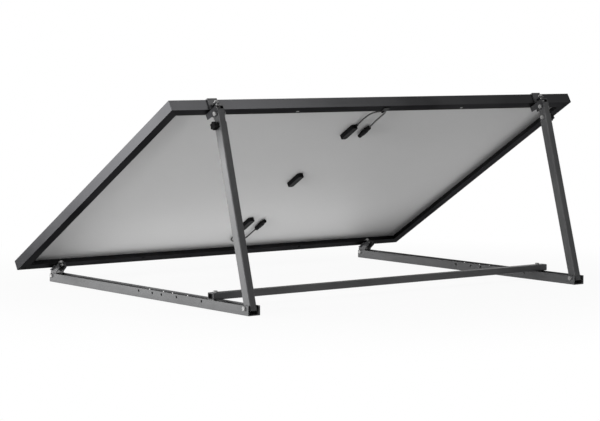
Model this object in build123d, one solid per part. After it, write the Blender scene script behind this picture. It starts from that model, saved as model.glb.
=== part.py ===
"""Tilting floor mount that carries one framed solar module on two braced base rails.

World frame: X runs along the long side of the module, Y from the high rear edge to the
low front edge, Z up. The rails stand on Z = 0 and the rails' mid-length is Y = 0.
"""
from build123d import *
import math
import os

os.makedirs("parts", exist_ok=True)

# ---- driving dimensions, millimetres and degrees ---------------------------------------
TILT = 30.7                  # module slope above the ground
MODULE_LENGTH = 1722.0
MODULE_WIDTH = 1134.0
FRAME_DEPTH = 35.0
FLANGE = 35.0                # rear flange of every frame member
FRAME_WALL = 1.8
FRAME_LIP = 8.0              # lip and shelf that hold the laminate
LIP_THICKNESS = 1.5
SHELF_TOP = 28.0             # laminate seat, measured from the rear of the frame
CHAMBER_FLOOR = 12.5         # hollow chamber that takes the corner keys
GLASS_THICKNESS = 3.2
CELL_THICKNESS = 1.2
LAMINATE_INSET = 3.0

RAIL_FROM_END = 161.0        # rail centre, from the end of the module
RAIL_LENGTH = 1200.0
RAIL_SHIFT = 2.9             # sets the whole object's middle on Y = 0
RAIL_WIDTH = 45.0
RAIL_HEIGHT = 30.5
RAIL_WALL = 2.5
RAIL_NOSE = 6.0              # rounding of the upper front corners
RAIL_HOLES = (254.0, 396.0, 484.0, 538.0, 620.0)   # adjustment holes, from the rear end
HOLE_HEIGHT = 21.5
HINGE_HEIGHT = 23.0
FOOT_FROM_REAR = 20.0
HINGE_FROM_FRONT = 14.0
BOLT = 8.0                   # every bolt is M8
BOLT_HEAD = 13.0
BOLT_HEAD_DEPTH = 5.3
WASHER = 1.6
WASHER_DIAMETER = 16.0
RUNNING_CLEARANCE = 0.06     # radial, on turning pins
BOLT_CLEARANCE = 0.5         # radial, on clamped bolts
LINK_CLEARANCE = 1.5         # radial, at the top pivot where the linkage is opened
SLEEVE_DIAMETER = 16.0       # spacer tube between the ears on the front hinge pin
SEAT = 0.02                  # gap between faces that turn or slide on each other

PIVOT_OUT = 15.0             # hinge pins lie this far beyond the module edge
PIVOT_BEHIND = 23.0          # and this far behind its rear face

CROSSBAR_FROM_REAR = 209.5
CROSSBAR_DEPTH = 30.0
CROSSBAR_HEIGHT = 22.5
CROSSBAR_OVERHANG = 25.5     # beyond the rail centres, at both ends together with the shift
CROSSBAR_SHIFT = 7.5
CROSSBAR_WALL = 2.0

LEG_WIDTH = 27.0
LEG_DEPTH = 34.0
LEG_WALL = 1.8
LEG_CORNER = 4.5
LEG_CLEARANCE = 0.2
OUTER_BELOW_PIVOT = 29.2     # end of the outer tube, from the top pivot
LEG_FOOT_TAIL = 11.0
LEG_INNER_LENGTH = 500.0
LEG_TOP_TAIL = 13.0
LEG_TRAVEL = 290.0
KNOB_FROM_TOP = 10.0
KNOB_DIAMETER = 28.0
KNOB_DEPTH = 14.0
KNOB_NECK = 5.0

PLATE = 3.0                  # bracket plate
HOOK_WIDTH = 38.0
HOOK_PLATE = 4.5
CLAMP_BOLT_OUT = 19.5        # hook bolt, beyond the module edge
FLANGE_HOLE_INSET = 27.0     # flange slots, inside the module edge
CLAMP_INSET = 4.0            # front clamp slots, inside the rail centres
SLOT_SPACING = 710.0         # unused flange slots nearer the middle
SLOT_LENGTH = 14.0
SLOT_WIDTH = 9.0
EARTH_HOLE = 5.2
EARTH_FROM_END = 24.0

BOX_LENGTH = 80.0
BOX_WIDTH = 25.0
BOX_DEPTH = 15.0
BOX_OFFSET = -3.0
BOX_FROM_TOP = (218.0, 570.0, 915.0)
CABLE = 5.6
CABLE_GRIP = 0.05            # radial, where a gland or plug takes the lead
GLAND_DIAMETER = 9.2
GLAND_LENGTH = 6.0
GLAND_OFFSET = 6.0           # from the middle of the box
GLAND_DROP = 5.0             # below the backsheet
CONNECTOR_LENGTH = 66.0
CONNECTOR_DIAMETER = 18.0

# ---- derived positions ------------------------------------------------------------------
SLOPE = math.radians(TILT)
LEG_SPACING = MODULE_LENGTH - 2 * RAIL_FROM_END
CLAMP_SPACING = LEG_SPACING - 2 * CLAMP_INSET
CROSSBAR_LENGTH = LEG_SPACING + 2 * CROSSBAR_OVERHANG
REAR_Y = -RAIL_LENGTH / 2 - RAIL_SHIFT
FRONT_Y = REAR_Y + RAIL_LENGTH
HINGE_Y = FRONT_Y - HINGE_FROM_FRONT
FOOT_Y = REAR_Y + FOOT_FROM_REAR
PIVOT_SPAN = MODULE_WIDTH + 2 * PIVOT_OUT
TOP_PIVOT_Y = HINGE_Y - PIVOT_SPAN * math.cos(SLOPE)
TOP_PIVOT_Z = HINGE_HEIGHT + PIVOT_SPAN * math.sin(SLOPE)
LEG_REACH = math.hypot(TOP_PIVOT_Y - FOOT_Y, TOP_PIVOT_Z - HOLE_HEIGHT)
LEG_LEAN = math.degrees(math.atan2(TOP_PIVOT_Y - FOOT_Y, TOP_PIVOT_Z - HOLE_HEIGHT))
INNER_WIDTH = LEG_WIDTH - 2 * LEG_WALL - 2 * LEG_CLEARANCE
INNER_DEPTH = LEG_DEPTH - 2 * LEG_WALL - 2 * LEG_CLEARANCE
EAR_IN = INNER_WIDTH / 2 + LEG_CLEARANCE
EAR_OUT = EAR_IN + PLATE
LEG_OUTER_TOP = LEG_REACH - OUTER_BELOW_PIVOT
KNOB_AT = LEG_OUTER_TOP - KNOB_FROM_TOP
CROSSBAR_Y = REAR_Y + CROSSBAR_FROM_REAR
GLASS_TOP = FRAME_DEPTH - LIP_THICKNESS
BACKSHEET_TOP = GLASS_TOP - GLASS_THICKNESS - CELL_THICKNESS
SIDES = {"left": -1, "right": 1}


# ---- placing ----------------------------------------------------------------------------
def on_module(shape):
    """Move a shape from the module frame to the world.

    Module frame: x along the module, y down the slope from the front hinge pin, z out of
    the glass; the rear face of the frame lies at z = PIVOT_BEHIND.
    """
    return Location((0, HINGE_Y, HINGE_HEIGHT), (-TILT, 0, 0)) * shape


def module_point(x, from_top, height):
    """Module-frame point from its distance below the top edge and height off the rear."""
    return (x, from_top - PIVOT_OUT - MODULE_WIDTH, height + PIVOT_BEHIND)


def on_leg(shape, side):
    """Move a shape from the leg frame, z along the leg from the foot pin, to the world."""
    place = Location((side * LEG_SPACING / 2, FOOT_Y, HOLE_HEIGHT), (-LEG_LEAN, 0, 0))
    return place * shape


def block(x0, x1, y0, y1, z0, z1):
    """Box between two corners."""
    centre = Location(((x0 + x1) / 2, (y0 + y1) / 2, (z0 + z1) / 2))
    return centre * Box(x1 - x0, y1 - y0, z1 - z0)


def pin(radius, x0, x1, y, z):
    """Cylinder along X."""
    return Location(((x0 + x1) / 2, y, z), (0, 90, 0)) * Cylinder(radius, x1 - x0)


def post(radius, x, y, z0, z1):
    """Cylinder along Z."""
    return Location((x, y, (z0 + z1) / 2)) * Cylinder(radius, z1 - z0)


def hexagon(across, depth):
    """Hexagonal prism on the XY plane."""
    return extrude(RegularPolygon(across / math.sqrt(3), 6), depth)


def save(name, *shapes):
    """Write one node."""
    solids = []
    for shape in shapes:
        solids.extend(shape.solids())
    export_step(solids[0] if len(solids) == 1 else Compound(children=solids), f"parts/{name}.step")


# ---- fasteners --------------------------------------------------------------------------
def hex_bolt(length, side=1):
    """Hex bolt along X: head outside x = 0, shank from 0 to length."""
    head = Rotation(0, -90, 0) * hexagon(BOLT_HEAD, BOLT_HEAD_DEPTH)
    head -= pin(BOLT_HEAD / 4, -BOLT_HEAD_DEPTH - 1, -BOLT_HEAD_DEPTH + 1.5, 0, 0)
    bolt = head + pin(BOLT / 2, 0, length, 0, 0)
    return bolt if side > 0 else Rotation(0, 0, 180) * bolt


def hex_nut(x):
    """Nut along X that starts at x and is screwed on an M8 shank."""
    return Location((x, 0, 0)) * (Rotation(0, 90, 0) * hexagon(BOLT_HEAD, BOLT_HEAD_DEPTH + 1.2)) \
        - pin(BOLT / 2, x - 1, x + BOLT_HEAD_DEPTH + 3, 0, 0)


# ---- module -----------------------------------------------------------------------------
def frame_profile():
    """Section of a frame member: a inward from the outer face, z from the rear face."""
    wall = FRAME_WALL
    section = Pos(wall / 2, FRAME_DEPTH / 2) * Rectangle(wall, FRAME_DEPTH)
    section += Pos(FLANGE / 2, wall / 2) * Rectangle(FLANGE, wall)
    section += Pos(FRAME_LIP / 2, FRAME_DEPTH - LIP_THICKNESS / 2) * Rectangle(FRAME_LIP, LIP_THICKNESS)
    chamber = SHELF_TOP - CHAMBER_FLOOR
    section += Pos(FRAME_LIP / 2, SHELF_TOP - chamber / 2) * Rectangle(FRAME_LIP, chamber)
    hollow = Rectangle(FRAME_LIP - wall - LIP_THICKNESS, chamber - 2 * LIP_THICKNESS)
    section -= Pos((FRAME_LIP + wall - LIP_THICKNESS) / 2, SHELF_TOP - chamber / 2) * hollow
    return section


def frame_member(length):
    """Mitred member along X, outer face on y = 0, rear face on z = 0, body towards +y."""
    bar = extrude(Plane.YZ * frame_profile(), length / 2, both=True)
    for end in (-1, 1):
        wedge = Polyline((end * length / 2, 0), (end * (length / 2 - FLANGE - 5), FLANGE + 5),
                         (end * (length / 2 + 5), FLANGE + 5), (end * (length / 2 + 5), 0), close=True)
        bar -= extrude(make_face(wedge), FRAME_DEPTH)
    return bar


def flange_slot(x):
    """Mounting slot through the rear flange."""
    outline = Pos(x, FLANGE_HOLE_INSET) * SlotOverall(SLOT_LENGTH, SLOT_WIDTH)
    return extrude(outline, FRAME_WALL + 1) + extrude(outline, -1)


def long_member():
    """Long frame member with mounting slots and earthing holes."""
    bar = frame_member(MODULE_LENGTH)
    for x in (-CLAMP_SPACING / 2, -SLOT_SPACING / 2, SLOT_SPACING / 2, CLAMP_SPACING / 2):
        bar -= flange_slot(x)
    for end in (-1, 1):
        bar -= post(EARTH_HOLE / 2, end * (MODULE_LENGTH / 2 - EARTH_FROM_END), 15, -1, FRAME_WALL + 1)
    return bar


def corner_key():
    """L-shaped key inside the hollow chambers at a mitre; outer corner at the origin."""
    inner = FRAME_WALL + 0.1
    outer = FRAME_LIP - LIP_THICKNESS - 0.1
    low = CHAMBER_FLOOR + LIP_THICKNESS + 0.1
    high = SHELF_TOP - LIP_THICKNESS - 0.1
    leg = block(inner, 45, inner, outer, low, high)
    return leg + block(inner, outer, inner, 45, low, high)


def build_frame():
    """Four members and four corner keys, in the module frame."""
    top = Location(module_point(0, 0, 0)) * long_member()
    low = Location(module_point(0, MODULE_WIDTH, 0), (0, 0, 180)) * long_member()
    middle = MODULE_WIDTH / 2
    left = Location(module_point(-MODULE_LENGTH / 2, middle, 0), (0, 0, -90)) * frame_member(MODULE_WIDTH)
    right = Location(module_point(MODULE_LENGTH / 2, middle, 0), (0, 0, 90)) * frame_member(MODULE_WIDTH)
    save("frame_top", on_module(top))
    save("frame_bottom", on_module(low))
    save("frame_left", on_module(left))
    save("frame_right", on_module(right))
    keys = []
    corners = ((-1, 0, 0), (1, 0, 90), (1, 1, 180), (-1, 1, 270))
    for end, row, turn in corners:
        place = Location(module_point(end * MODULE_LENGTH / 2, row * MODULE_WIDTH, 0), (0, 0, turn))
        keys.append(on_module(place * corner_key()))
    save("corner_keys", *keys)


def laminate_sheet(z0, z1):
    """One full sheet of the laminate between two heights above the rear face."""
    half = MODULE_LENGTH / 2 - LAMINATE_INSET
    near = module_point(0, LAMINATE_INSET, 0)
    far = module_point(0, MODULE_WIDTH - LAMINATE_INSET, 0)
    return block(-half, half, near[1], far[1], z0 + PIVOT_BEHIND, z1 + PIVOT_BEHIND)


def build_laminate():
    """Glass, cell sheet and backsheet."""
    under_glass = GLASS_TOP - GLASS_THICKNESS
    save("front_glass", on_module(laminate_sheet(under_glass, GLASS_TOP)))
    save("cell_sheet", on_module(laminate_sheet(BACKSHEET_TOP, under_glass)))
    save("backsheet", on_module(laminate_sheet(SHELF_TOP, BACKSHEET_TOP)))


def junction_box():
    """Box body and lid; the base stands on z = 0 and opens to -z, length along y."""
    outline = Rectangle(BOX_WIDTH, BOX_LENGTH)
    outline = chamfer(outline.vertices(), 5)
    body = extrude(outline, -(BOX_DEPTH - 3))
    cavity = extrude(offset(outline, -2), -(BOX_DEPTH - 5))
    body -= Pos(0, 0, -2) * cavity
    lid = Pos(0, 0, -(BOX_DEPTH - 3)) * extrude(outline, -3)
    lid = chamfer(lid.faces().sort_by(Axis.Z)[0].edges(), 1.2)
    return body, lid


def build_boxes():
    """Three junction boxes in a line down the middle of the backsheet."""
    bodies = []
    lids = []
    for from_top in BOX_FROM_TOP:
        body, lid = junction_box()
        place = Location(module_point(BOX_OFFSET, from_top, SHELF_TOP))
        bodies.append(on_module(place * body))
        lids.append(on_module(place * lid))
    glands = []
    for from_top, way in ((BOX_FROM_TOP[0], -1), (BOX_FROM_TOP[2], 1)):
        end = from_top + way * BOX_LENGTH / 2
        centre = module_point(BOX_OFFSET + GLAND_OFFSET, end + way * GLAND_LENGTH / 2, SHELF_TOP - GLAND_DROP)
        gland = Location(centre, (90, 0, 0)) * Cylinder(GLAND_DIAMETER / 2, GLAND_LENGTH)
        gland -= Location(centre, (90, 0, 0)) * Cylinder(CABLE / 2 + CABLE_GRIP, GLAND_LENGTH + 2)
        glands.append(on_module(gland))
    save("junction_box_bodies", *bodies)
    save("junction_box_lids", *lids)
    save("cable_glands", *glands)


# ---- leads ------------------------------------------------------------------------------
# Route points: x, distance below the top edge, height above the rear face of the frame.
UPPER_ROUTE = (
    (3, 178, 23), (3, 156, 23), (-5, 119, 19.5), (-12, 82, 13), (-14, 56, 6.5), (0, 38, 1.6),
    (20, 38, 1.6), (37, 56, 5), (44, 90, 10), (52, 130, 15), (62, 165, 18.5), (62, 187, 18.5),
)
LOWER_ROUTE = (
    (3, 955, 23), (3, 977, 23), (0, 1008, 21), (1, 1040, 20), (20, 1059, 20), (48, 1059, 20),
    (68, 1040, 20), (69, 1008, 20.5), (65, 975, 18.5), (65, 952, 18.5),
)


def fillet_radius(a, b, c):
    """Bend radius at b: 0.45 of the shorter run over the tangent of half the turn."""
    run_in = Vector(*b) - Vector(*a)
    run_out = Vector(*c) - Vector(*b)
    turn = math.radians(run_in.get_angle(run_out))
    return 0.45 * min(run_in.length, run_out.length) / math.tan(turn / 2)


def lead(name, route):
    """Round lead along a filleted route, in the module frame."""
    points = [module_point(*p) for p in route]
    path = Polyline(*points).edges()
    radii = [fillet_radius(*points[i:i + 3]) for i in range(len(points) - 2)]
    edges = []
    start = Vector(*points[0])
    for i, radius in enumerate(radii):
        a, b, c = (Vector(*p) for p in points[i:i + 3])
        away = (b - a).normalized()
        onward = (c - b).normalized()
        turn = math.radians(away.get_angle(onward))
        cut = radius * math.tan(turn / 2)
        first = b - away * cut
        last = b + onward * cut
        edges.append(Edge.make_line(start, first))
        edges.append(Edge.make_tangent_arc(first, away, last))
        start = last
    edges.append(Edge.make_line(start, Vector(*points[-1])))
    wire = Wire(edges)
    plane = Plane(origin=points[0], z_dir=wire.tangent_at(0))
    solid = sweep(plane * Circle(CABLE / 2), path=wire)
    length = wire.length
    print(name, "runs", len(path), "radii", [round(r, 1) for r in radii],
          "length", round(length, 1), "volume ratio",
          round(solid.volume / (length * math.pi * CABLE ** 2 / 4), 4))
    return solid


def connector(way):
    """Round plug with a gripping nut; the lead enters at y = 0 and the plug runs along way."""
    radius = CONNECTOR_DIAMETER / 2
    steps = ((0, 4.8), (2, 7.0), (4, 8.0), (20, 8.0), (20.5, 7.0), (23, 7.0), (23.5, radius),
             (46, radius), (48, 7.4), (CONNECTOR_LENGTH - 1, 7.4), (CONNECTOR_LENGTH, 6.6))
    outline = [(0, 0)] + [(r, y) for y, r in steps] + [(0, CONNECTOR_LENGTH)]
    plug = revolve(make_face(Polyline(*outline, close=True)), Axis.Y)
    plug -= Location((0, 3, 0), (90, 0, 0)) * Cylinder(CABLE / 2 + CABLE_GRIP, 8)
    for turn in range(8):
        groove = Rotation(0, turn * 45, 0) * block(-0.9, 0.9, 5, 19, 7.2, 9)
        plug -= groove
    return plug if way > 0 else Rotation(0, 0, 180) * plug


def build_leads():
    """Two short leads with plugs, and the clip that holds the upper one on the flange."""
    save("lead_upper", on_module(lead("lead_upper", UPPER_ROUTE)))
    save("lead_lower", on_module(lead("lead_lower", LOWER_ROUTE)))
    for name, route, way in (("connector_upper", UPPER_ROUTE, 1), ("connector_lower", LOWER_ROUTE, -1)):
        x, from_top, height = route[-1]
        place = Location(module_point(x, from_top - way * 6, height))
        save(name, on_module(place * connector(way)))
    x0, from_top, height = UPPER_ROUTE[5]
    x = (x0 + UPPER_ROUTE[6][0]) / 2
    top = module_point(x, 10, 0)
    lead_at = module_point(x, from_top, height)
    reach = lead_at[1] + CABLE / 2 + 2
    clip = block(x - 12, x + 12, top[1], lead_at[1] - 4, top[2] - 2.5, top[2])
    clip += block(x - 3, x + 3, lead_at[1] - 5, reach, top[2] - 4.5, top[2])
    clip += block(x - 3, x + 3, lead_at[1] - 0.5, reach, top[2] - 1, lead_at[2] + CABLE / 2 + 2)
    clip -= pin(CABLE / 2 + 0.3, x - 6, x + 6, lead_at[1], lead_at[2])
    save("lead_clip", on_module(clip))


# ---- base -------------------------------------------------------------------------------
def base_rail(side):
    """Open-topped channel with adjustment holes through both walls."""
    x = side * LEG_SPACING / 2
    rail = block(-RAIL_WIDTH / 2, RAIL_WIDTH / 2, REAR_Y, FRONT_Y, 0, RAIL_HEIGHT)
    inside = RAIL_WIDTH / 2 - RAIL_WALL
    rail -= block(-inside, inside, REAR_Y - 1, FRONT_Y + 1, RAIL_WALL, RAIL_HEIGHT + 1)
    nose = rail.edges().filter_by(Axis.X).group_by(Axis.Y)[-1].group_by(Axis.Z)[-1]
    rail = fillet(nose, RAIL_NOSE)
    rail = fillet(rail.edges().filter_by(Axis.Y).group_by(Axis.Z)[0], 1.2)
    for from_rear in RAIL_HOLES:
        rail -= pin(4.5, -RAIL_WIDTH, RAIL_WIDTH, REAR_Y + from_rear, HOLE_HEIGHT)
    rail -= pin(BOLT / 2 + BOLT_CLEARANCE, -RAIL_WIDTH, RAIL_WIDTH, FOOT_Y, HOLE_HEIGHT)
    rail -= pin(BOLT / 2 + BOLT_CLEARANCE, -RAIL_WIDTH, RAIL_WIDTH, HINGE_Y, HINGE_HEIGHT)
    return Location((x, 0, 0)) * rail


def crossbar():
    """Rectangular tube lying on both rails, drilled for its two hold-down bolts."""
    half = CROSSBAR_LENGTH / 2
    outer = extrude(Plane.YZ * RectangleRounded(CROSSBAR_DEPTH, CROSSBAR_HEIGHT, 3), half, both=True)
    hollow = RectangleRounded(CROSSBAR_DEPTH - 2 * CROSSBAR_WALL, CROSSBAR_HEIGHT - 2 * CROSSBAR_WALL, 1.2)
    outer -= extrude(Plane.YZ * hollow, half + 1, both=True)
    bar = Location((CROSSBAR_SHIFT, CROSSBAR_Y, RAIL_HEIGHT + CROSSBAR_HEIGHT / 2)) * outer
    for side in SIDES.values():
        bar -= post(BOLT / 2 + BOLT_CLEARANCE, side * LEG_SPACING / 2, CROSSBAR_Y, RAIL_HEIGHT - 1, 99)
    return bar


def crossbar_cap(end):
    """Plug pressed into one end of the crossbar, dished on its face."""
    depth = CROSSBAR_DEPTH - 2 * CROSSBAR_WALL
    height = CROSSBAR_HEIGHT - 2 * CROSSBAR_WALL
    plug = extrude(Plane.YZ * RectangleRounded(depth, height, 1.2), -9)
    plug -= extrude(Plane.YZ * Rectangle(depth - 5, height - 5), -6)
    plug = plug if end > 0 else Rotation(0, 0, 180) * plug
    x = CROSSBAR_SHIFT + end * (CROSSBAR_LENGTH / 2 - 0.8)
    return Location((x, CROSSBAR_Y, RAIL_HEIGHT + CROSSBAR_HEIGHT / 2)) * plug


def hold_down_bolt(side):
    """Bolt through the crossbar into a nut that stands on the rail floor."""
    top = RAIL_HEIGHT + CROSSBAR_HEIGHT
    bolt = Rotation(0, 90, 0) * hex_bolt(top - RAIL_WALL)
    return Location((side * LEG_SPACING / 2, CROSSBAR_Y, top)) * bolt


def hold_down_nut(side):
    """Nut fixed on the rail floor."""
    nut = Rotation(0, -90, 0) * hex_nut(0)
    return Location((side * LEG_SPACING / 2, CROSSBAR_Y, RAIL_WALL)) * nut


def cross_pin(side, y, z):
    """Bolt across a rail with its nut, head on the -X side."""
    half = RAIL_WIDTH / 2
    bolt = Location((-half, 0, 0)) * hex_bolt(RAIL_WIDTH + 9)
    nut = hex_nut(half)
    place = Location((side * LEG_SPACING / 2, y, z))
    return place * bolt, place * nut


def spacers(side, y, z, inner):
    """Two sleeves on a cross pin that centre what turns between the rail walls."""
    outer = RAIL_WIDTH / 2 - RAIL_WALL
    pair = []
    for way in (-1, 1):
        span = sorted((way * (inner + SEAT), way * outer))
        sleeve = pin(6.5, *span, 0, 0) - pin(BOLT / 2 + RUNNING_CLEARANCE, span[0] - 1, span[1] + 1, 0, 0)
        pair.append(Location((side * LEG_SPACING / 2, y, z)) * sleeve)
    return pair


def build_base():
    """Rails, crossbar and the pins that cross the rails."""
    tubes = []
    for name, side in SIDES.items():
        save(f"base_rail_{name}", base_rail(side))
        foot_bolt, foot_nut = cross_pin(side, FOOT_Y, HOLE_HEIGHT)
        save(f"foot_bolt_{name}", foot_bolt)
        save(f"foot_nut_{name}", foot_nut)
        hinge_bolt, hinge_nut = cross_pin(side, HINGE_Y, HINGE_HEIGHT)
        save(f"hinge_bolt_{name}", hinge_bolt)
        save(f"hinge_nut_{name}", hinge_nut)
        sleeves = spacers(side, FOOT_Y, HOLE_HEIGHT, LEG_WIDTH / 2)
        sleeves += spacers(side, HINGE_Y, HINGE_HEIGHT, EAR_OUT)
        save(f"pin_spacers_{name}", *sleeves)
        tube_end = EAR_IN - SEAT
        sleeve = pin(SLEEVE_DIAMETER / 2, -tube_end, tube_end, 0, 0)
        sleeve -= pin(BOLT / 2 + RUNNING_CLEARANCE, -EAR_IN, EAR_IN, 0, 0)
        tubes.append(Location((side * LEG_SPACING / 2, HINGE_Y, HINGE_HEIGHT)) * sleeve)
    save("hinge_sleeves", *tubes)
    save("crossbar", crossbar())
    save("crossbar_caps", crossbar_cap(-1), crossbar_cap(1))
    save("crossbar_bolts", hold_down_bolt(-1), hold_down_bolt(1))
    save("crossbar_nuts", hold_down_nut(-1), hold_down_nut(1))


# ---- rear legs --------------------------------------------------------------------------
def tube(width, depth, corner, wall, z0, z1):
    """Rounded rectangular tube along z."""
    outer = extrude(RectangleRounded(width, depth, corner), z1 - z0)
    inner = RectangleRounded(width - 2 * wall, depth - 2 * wall, max(corner - wall, 0.5))
    return Pos(0, 0, z0) * (outer - extrude(inner, z1 - z0))


def leg_outer():
    """Outer tube with its foot pin hole and the hole for the locking bolt."""
    leg = tube(LEG_WIDTH, LEG_DEPTH, LEG_CORNER, LEG_WALL, -LEG_FOOT_TAIL, LEG_OUTER_TOP)
    leg -= pin(BOLT / 2 + RUNNING_CLEARANCE, -LEG_WIDTH, LEG_WIDTH, 0, 0)
    leg -= pin(BOLT / 2 + BOLT_CLEARANCE, -LEG_WIDTH, LEG_WIDTH, 0, KNOB_AT)
    return leg


def leg_inner():
    """Inner tube with the top pivot hole and the long slot the locking bolt runs in."""
    top = LEG_REACH + LEG_TOP_TAIL
    leg = tube(INNER_WIDTH, INNER_DEPTH, LEG_CORNER - LEG_WALL, LEG_WALL, top - LEG_INNER_LENGTH, top)
    leg -= pin(BOLT / 2 + LINK_CLEARANCE, -LEG_WIDTH, LEG_WIDTH, 0, LEG_REACH)
    slot = BOLT / 2 + BOLT_CLEARANCE
    leg -= block(-LEG_WIDTH, LEG_WIDTH, -slot, slot, KNOB_AT - LEG_TRAVEL, KNOB_AT)
    leg -= pin(slot, -LEG_WIDTH, LEG_WIDTH, 0, KNOB_AT - LEG_TRAVEL)
    leg -= pin(slot, -LEG_WIDTH, LEG_WIDTH, 0, KNOB_AT)
    return leg


def locking_bolt():
    """Bolt through the leg: head on the inner face, threaded end for the knob."""
    reach = LEG_WIDTH + SEAT + KNOB_NECK + KNOB_DEPTH - 4
    bolt = hex_bolt(reach)
    return Location((-LEG_WIDTH / 2, 0, KNOB_AT)) * bolt


def star_knob():
    """Six-lobed knob screwed on the locking bolt."""
    radius = KNOB_DIAMETER / 2
    outline = Circle(radius - 3.2)
    for lobe in range(6):
        outline += Rotation(0, 0, lobe * 60) * (Pos(radius - 4.2, 0) * Circle(4.2))
    body = extrude(outline, KNOB_DEPTH)
    body = fillet(body.faces().sort_by(Axis.Z)[-1].edges(), 1.2)
    knob = Cylinder(7, KNOB_NECK, align=(Align.CENTER, Align.CENTER, Align.MIN))
    knob += Pos(0, 0, KNOB_NECK) * body
    knob -= Cylinder(BOLT / 2 + RUNNING_CLEARANCE, KNOB_NECK + KNOB_DEPTH - 3,
                     align=(Align.CENTER, Align.CENTER, Align.MIN))
    knob = Rotation(0, 90, 0) * knob
    return Location((LEG_WIDTH / 2 + SEAT, 0, KNOB_AT)) * knob


def build_legs():
    """Two telescopic legs; each locking bolt has its knob on the outer side."""
    for name, side in SIDES.items():
        save(f"leg_outer_{name}", on_leg(leg_outer(), side))
        save(f"leg_inner_{name}", on_leg(leg_inner(), side))
        turn = Rotation(0, 0, 0) if side > 0 else Rotation(0, 0, 180)
        save(f"locking_bolt_{name}", on_leg(turn * locking_bolt(), side))
        save(f"locking_knob_{name}", on_leg(turn * star_knob(), side))


# ---- brackets ---------------------------------------------------------------------------
# Ear outlines: distance beyond the module edge, distance behind its rear face.
TOP_EAR = ((-33, 0), (-33, 19), (-9, 21.5), (-1, 28), (8, 32), (20, 32), (28, 26), (31, 16), (31, 0))
FRONT_EAR = ((-36, 0), (-36, 18), (-10, 21.5), (-1, 28), (8, 32), (20, 32), (27, 26), (29, 16), (27, 4), (20, 0))
BEND = 1.0                   # inner radius of the folded ears


def bracket(ear, web_half, web_from, web_to):
    """Channel bracket: web against the flange and two ears, x across, y outward, z rearward."""
    outline = make_face(Polyline(*ear, close=True))
    plate = extrude(Plane.YZ * outline, PLATE)
    ears = []
    for way in (-1, 1):
        start = EAR_IN if way > 0 else -EAR_OUT
        ears.append(Location((start, 0, 0)) * plate)
    shape = ears[0] + ears[1]
    shape += block(-EAR_OUT, EAR_OUT, ear[0][0], ear[-1][0], 0, PLATE)
    folds = shape.edges().filter_by(Axis.Y).filter_by(lambda edge: edge.length > 20)
    shape = fillet(folds.group_by(Axis.Z)[0], BEND + PLATE / 2)
    inner = shape.edges().filter_by(Axis.Y).filter_by(lambda edge: abs(edge.center().Z - PLATE) < 0.01)
    shape = fillet(inner, BEND)
    if web_half > EAR_OUT:
        shape += block(-web_half, web_half, web_from, web_to, 0, PLATE)
    hole = BOLT / 2 + RUNNING_CLEARANCE
    shape -= pin(hole, -EAR_OUT - 1, EAR_OUT + 1, PIVOT_OUT, PIVOT_BEHIND)
    return shape


def at_top(shape, x):
    """Bracket frame at the top edge: y outward is up the slope, z rearward."""
    return on_module(Location(module_point(x, 0, 0), (180, 0, 0)) * shape)


def at_front(shape, x):
    """Bracket frame at the front edge: y outward is down the slope, z rearward."""
    return on_module(Location(module_point(x, MODULE_WIDTH, 0), (0, 180, 0)) * shape)


def top_hook():
    """Hook over the glass side with a drilled tab for the clamp bolt."""
    half = HOOK_WIDTH / 2
    hook = block(-half, half, 0, HOOK_PLATE, -FRAME_DEPTH - PLATE, 0)
    hook += block(-half, half, -FRAME_LIP, HOOK_PLATE, -FRAME_DEPTH - PLATE, -FRAME_DEPTH)
    hook += block(-8, 8, 0, CLAMP_BOLT_OUT + 7, -13, -13 + PLATE)
    hook -= post(BOLT / 2 + BOLT_CLEARANCE, 0, CLAMP_BOLT_OUT, -20, 0)
    return hook


def clamp_bolt(y, grip_from, grip_to):
    """Bolt across a clamped stack along z: head behind grip_to, nut in front of grip_from."""
    length = grip_to - grip_from + 9
    bolt = Rotation(0, 90, 0) * hex_bolt(length)
    nut = Rotation(0, 90, 0) * hex_nut(grip_to - grip_from)
    place = Location((0, y, grip_to))
    return place * bolt, place * nut


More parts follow.
